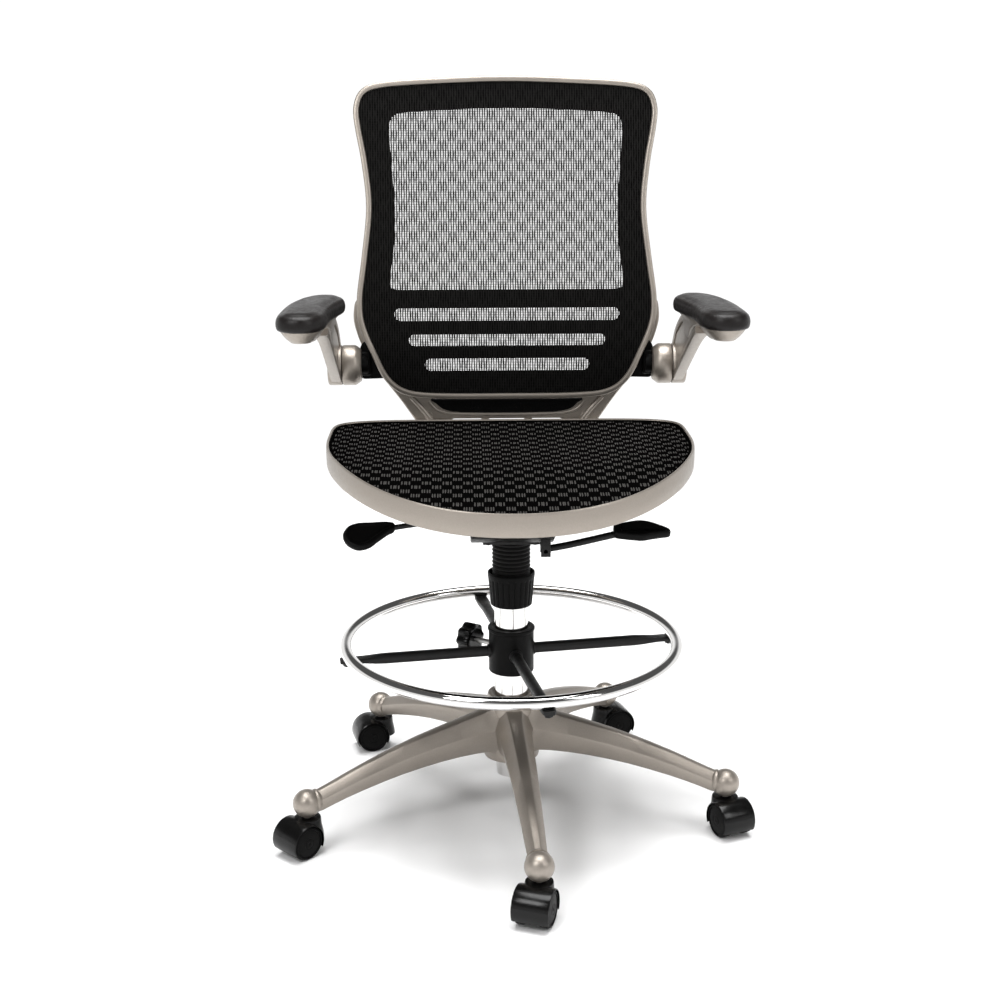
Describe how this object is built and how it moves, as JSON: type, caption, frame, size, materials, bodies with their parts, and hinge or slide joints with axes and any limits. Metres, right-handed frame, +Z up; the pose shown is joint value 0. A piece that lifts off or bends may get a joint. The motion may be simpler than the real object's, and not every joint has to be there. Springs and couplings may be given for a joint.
{
  "type": "drafting chair",
  "caption": "Height-adjustable drafting chair with mesh seat and back, foot ring, flip-up arms, tilt and a caster base.",
  "frame": {"origin": "on the swivel axis at the floor", "axes": "+Z up, the sitter faces -Y, +X is the sitter's left"},
  "size_m": [0.7051, 0.6878, 1.089],
  "materials": {
    "silver_cast": "warm silver paint on cast aluminium, satin",
    "silver_shell": "warm silver paint on moulded nylon, satin",
    "chrome_steel": "polished chrome",
    "plain_steel": "zinc plated steel",
    "black_steel": "black powder coat",
    "black_nylon": "moulded black nylon, fine texture",
    "black_gloss": "moulded black plastic, smoother",
    "seat_fabric": "woven elastomer mesh, checked weave",
    "back_fabric": "open knitted mesh with vertical threads",
    "pad_skin": "moulded polyurethane with a leathery skin",
    "rubber_bush": "rubber",
    "zinc_plate": "zinc plated pressing"
  },
  "bodies": {
    "base": {"star_base": "silver_cast", "column_tube": "chrome_steel", "column_bush": "black_nylon", "thrust_bearing": "plain_steel", "dust_cup": "black_nylon"},
    "ring": {"foot_ring": "chrome_steel", "ring_sleeve": "black_nylon", "ring_spokes": "black_steel", "ring_bolts": "black_steel"},
    "ring_knob": {"clamp_knob": "black_nylon", "clamp_screw": "plain_steel"},
    "gas_rod": {"piston_rod": "plain_steel", "piston": "black_nylon", "rod_clip": "plain_steel", "dust_bellows": "rubber_bush"},
    "mechanism": {"lift_cylinder": "plain_steel", "tilt_housing": "black_steel", "socket_plate": "zinc_plate", "tilt_axle": "plain_steel", "torsion_bushes": "rubber_bush", "lever_pins": "plain_steel"},
    "valve_pin": {"release_pin": "plain_steel"},
    "raise_lever": {"height_lever": "black_steel", "height_paddle": "black_gloss"},
    "lock_lever": {"tilt_lever": "black_steel", "tilt_grip": "black_gloss"},
    "seat": {"seat_plate": "black_steel", "seat_rails": "black_nylon", "seat_frame": "silver_shell", "seat_mesh": "seat_fabric", "seat_bolts": "plain_steel", "back_support": "silver_cast", "support_insert": "black_nylon", "back_frame": "silver_shell", "back_panel": "black_nylon", "back_mesh": "back_fabric", "back_screws": "plain_steel", "arm_brackets": "black_nylon", "arm_hubs": "silver_cast"},
    "left_armrest": {"left_arm": "silver_cast", "left_arm_pad": "pad_skin"},
    "right_armrest": {"right_arm": "silver_cast", "right_arm_pad": "pad_skin"},
    "caster_1": {"caster_hood_1": "black_nylon", "caster_pins_1": "plain_steel"},
    "wheels_1": {"caster_wheels_1": "black_nylon"},
    "caster_2": {"caster_hood_2": "black_nylon", "caster_pins_2": "plain_steel"},
    "wheels_2": {"caster_wheels_2": "black_nylon"},
    "caster_3": {"caster_hood_3": "black_nylon", "caster_pins_3": "plain_steel"},
    "wheels_3": {"caster_wheels_3": "black_nylon"},
    "caster_4": {"caster_hood_4": "black_nylon", "caster_pins_4": "plain_steel"},
    "wheels_4": {"caster_wheels_4": "black_nylon"},
    "caster_5": {"caster_hood_5": "black_nylon", "caster_pins_5": "plain_steel"},
    "wheels_5": {"caster_wheels_5": "black_nylon"}
  },
  "joints": [
    {"name": "foot_ring_height", "type": "slide", "parent": "base", "child": "ring", "axis": [0, 0, 1], "range_m": [-0.034, 0.034]},
    {"name": "ring_clamp_turn", "type": "hinge", "parent": "ring", "child": "ring_knob", "pos_m": [-0.04096, 0.02868, 0.263], "axis": [-0.8192, 0.5736, 0], "range_deg": [0, 360]},
    {"name": "seat_swivel", "type": "hinge", "parent": "base", "child": "gas_rod", "pos_m": [0, 0, 0.068], "axis": [0, 0, 1], "continuous": true},
    {"name": "seat_height", "type": "slide", "parent": "gas_rod", "child": "mechanism", "axis": [0, 0, 1], "range_m": [0, 0.2], "deforming": ["dust_bellows"]},
    {"name": "height_lever_lift", "type": "hinge", "parent": "mechanism", "child": "raise_lever", "pos_m": [-0.045, 0, 0.466], "axis": [0, 1, 0], "range_deg": [0, 6], "stiffness_Nm_per_rad": 2, "springref_deg": -14.32},
    {"name": "valve_pin_press", "type": "slide", "parent": "mechanism", "child": "valve_pin", "axis": [0, 0, -1], "range_m": [0, 0.0052]},
    {"name": "tilt_lever_turn", "type": "hinge", "parent": "mechanism", "child": "lock_lever", "pos_m": [0.047, -0.06, 0.433], "axis": [0, 1, 0], "range_deg": [0, 12]},
    {"name": "seat_tilt", "type": "hinge", "parent": "mechanism", "child": "seat", "pos_m": [0, -0.055, 0.48], "axis": [-1, 0, 0], "range_deg": [0, 12], "stiffness_Nm_per_rad": 90, "springref_deg": -14.32},
    {"name": "left_arm_flip", "type": "hinge", "parent": "seat", "child": "left_armrest", "pos_m": [-0.268, 0.205, 0.655], "axis": [-1, 0, 0], "range_deg": [0, 100]},
    {"name": "right_arm_flip", "type": "hinge", "parent": "seat", "child": "right_armrest", "pos_m": [0.268, 0.205, 0.655], "axis": [-1, 0, 0], "range_deg": [0, 100]},
    {"name": "caster_swivel_1", "type": "hinge", "parent": "base", "child": "caster_1", "pos_m": [0.02708, -0.32247, 0.07], "axis": [0, 0, 1], "continuous": true},
    {"name": "caster_roll_1", "type": "hinge", "parent": "caster_1", "child": "wheels_1", "pos_m": [0.02092, -0.33938, 0.025], "axis": [0.9397, -0.342, 0], "continuous": true},
    {"name": "caster_swivel_2", "type": "hinge", "parent": "base", "child": "caster_2", "pos_m": [0.31505, -0.07389, 0.07], "axis": [0, 0, 1], "continuous": true},
    {"name": "caster_roll_2", "type": "hinge", "parent": "caster_2", "child": "wheels_2", "pos_m": [0.32179, -0.09058, 0.025], "axis": [0.9272, 0.3746, 0], "continuous": true},
    {"name": "caster_swivel_3", "type": "hinge", "parent": "base", "child": "caster_3", "pos_m": [0.16763, 0.2768, 0.07], "axis": [0, 0, 1], "continuous": true},
    {"name": "caster_roll_3", "type": "hinge", "parent": "caster_3", "child": "wheels_3", "pos_m": [0.18502, 0.28146, 0.025], "axis": [-0.2588, 0.9659, 0], "continuous": true},
    {"name": "caster_swivel_4", "type": "hinge", "parent": "base", "child": "caster_4", "pos_m": [-0.21145, 0.24496, 0.07], "axis": [0, 0, 1], "continuous": true},
    {"name": "caster_roll_4", "type": "hinge", "parent": "caster_4", "child": "wheels_4", "pos_m": [-0.22883, 0.2403, 0.025], "axis": [0.2588, -0.9659, 0], "continuous": true},
    {"name": "caster_swivel_5", "type": "hinge", "parent": "base", "child": "caster_5", "pos_m": [-0.29831, -0.1254, 0.07], "axis": [0, 0, 1], "continuous": true},
    {"name": "caster_roll_5", "type": "hinge", "parent": "caster_5", "child": "wheels_5", "pos_m": [-0.31104, -0.13813, 0.025], "axis": [0.7071, -0.7071, 0], "continuous": true}
  ],
  "couplings": [
    {"joint": "valve_pin_press", "follows": "height_lever_lift", "m_per_rad": 0.049}
  ]
}
